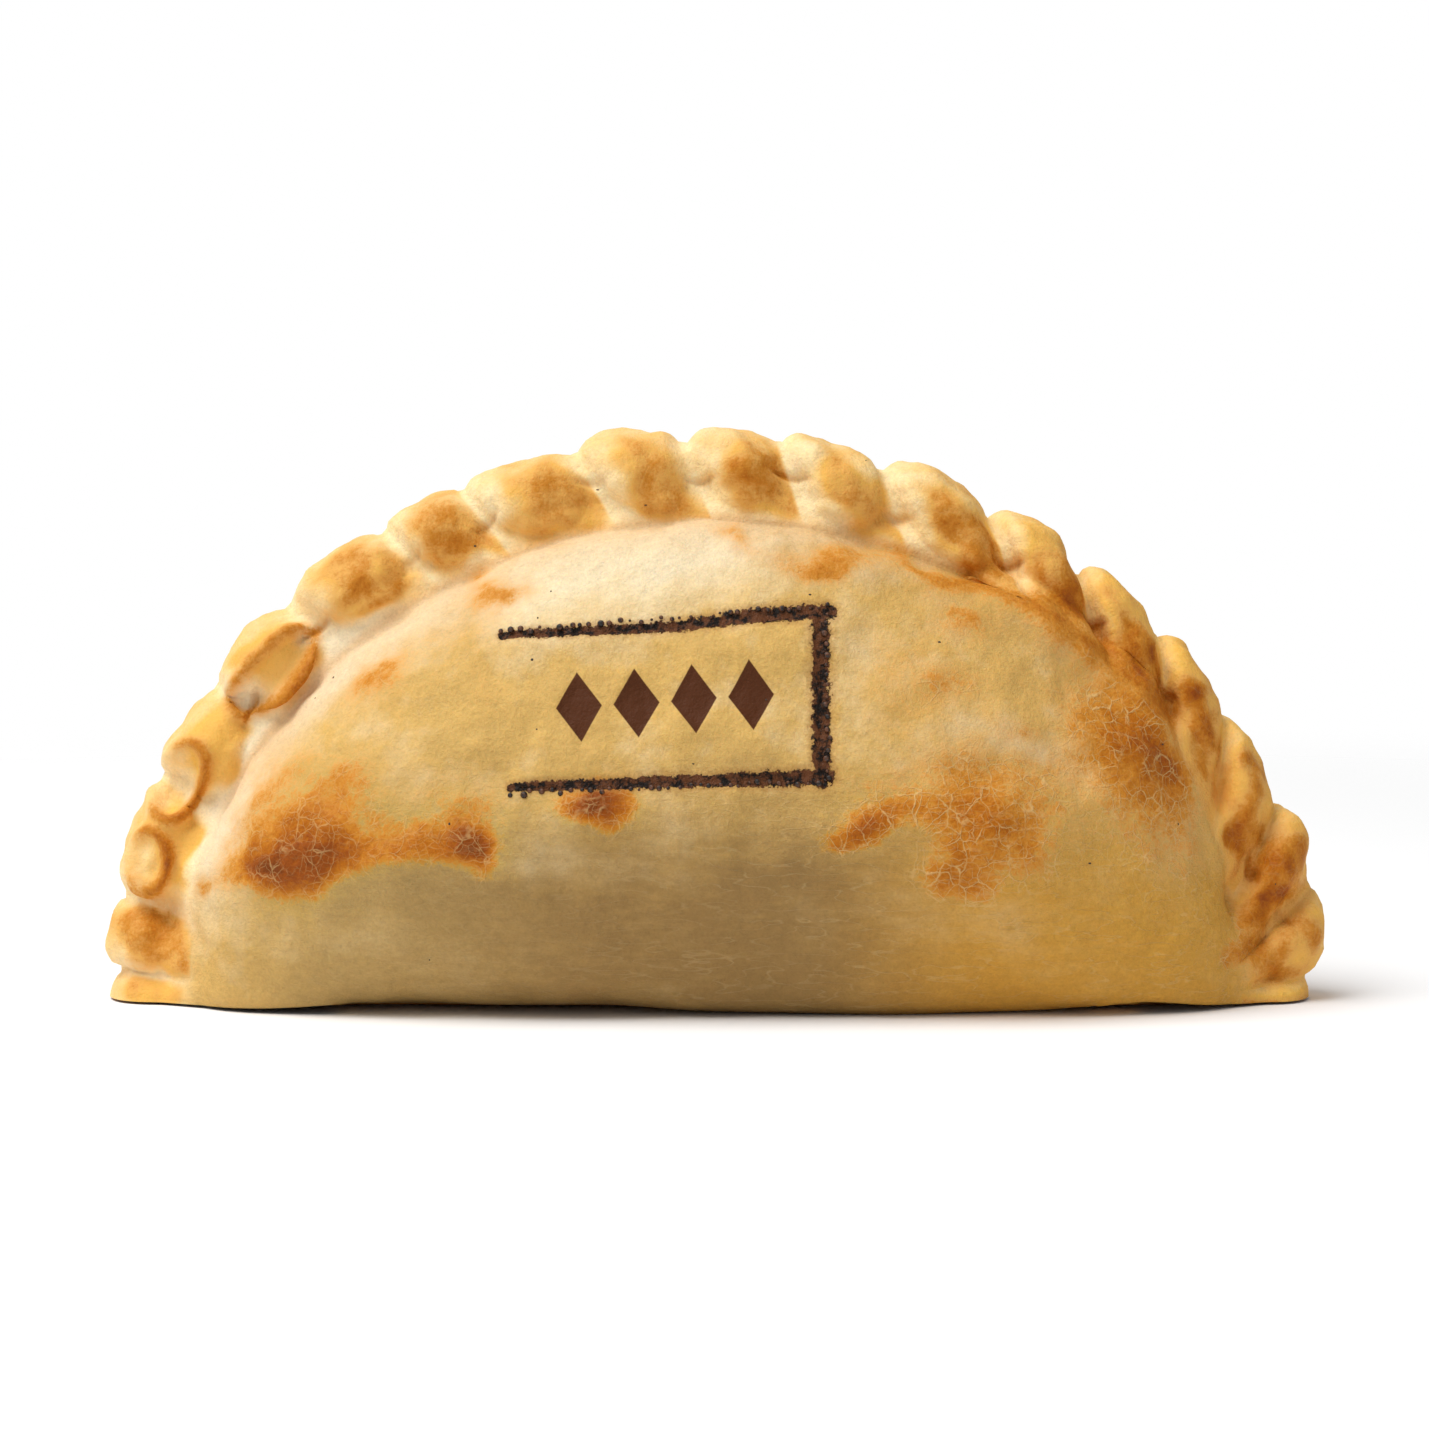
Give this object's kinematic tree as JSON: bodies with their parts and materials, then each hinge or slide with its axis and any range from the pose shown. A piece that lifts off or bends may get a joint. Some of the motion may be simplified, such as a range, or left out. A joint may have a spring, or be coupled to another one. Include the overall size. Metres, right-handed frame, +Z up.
{
  "type": "beef empanada",
  "caption": "Half-moon baked pastry standing on its fold, with a swollen belly, a crimped rope edge over the top and a burnt-in frame on the front.",
  "frame": {"origin": "middle of the base, on the plane of the tray that it rests on", "axes": "+Z up towards the crimped edge, +X along the fold from end to end, -Y out of the front with the burnt-in frame"},
  "size_m": [0.13, 0.0454, 0.0608],
  "materials": {
    "crust": "baked dough, pale gold with brown blisters"
  },
  "bodies": {
    "root": {"empanada": "crust"}
  },
  "joints": []
}
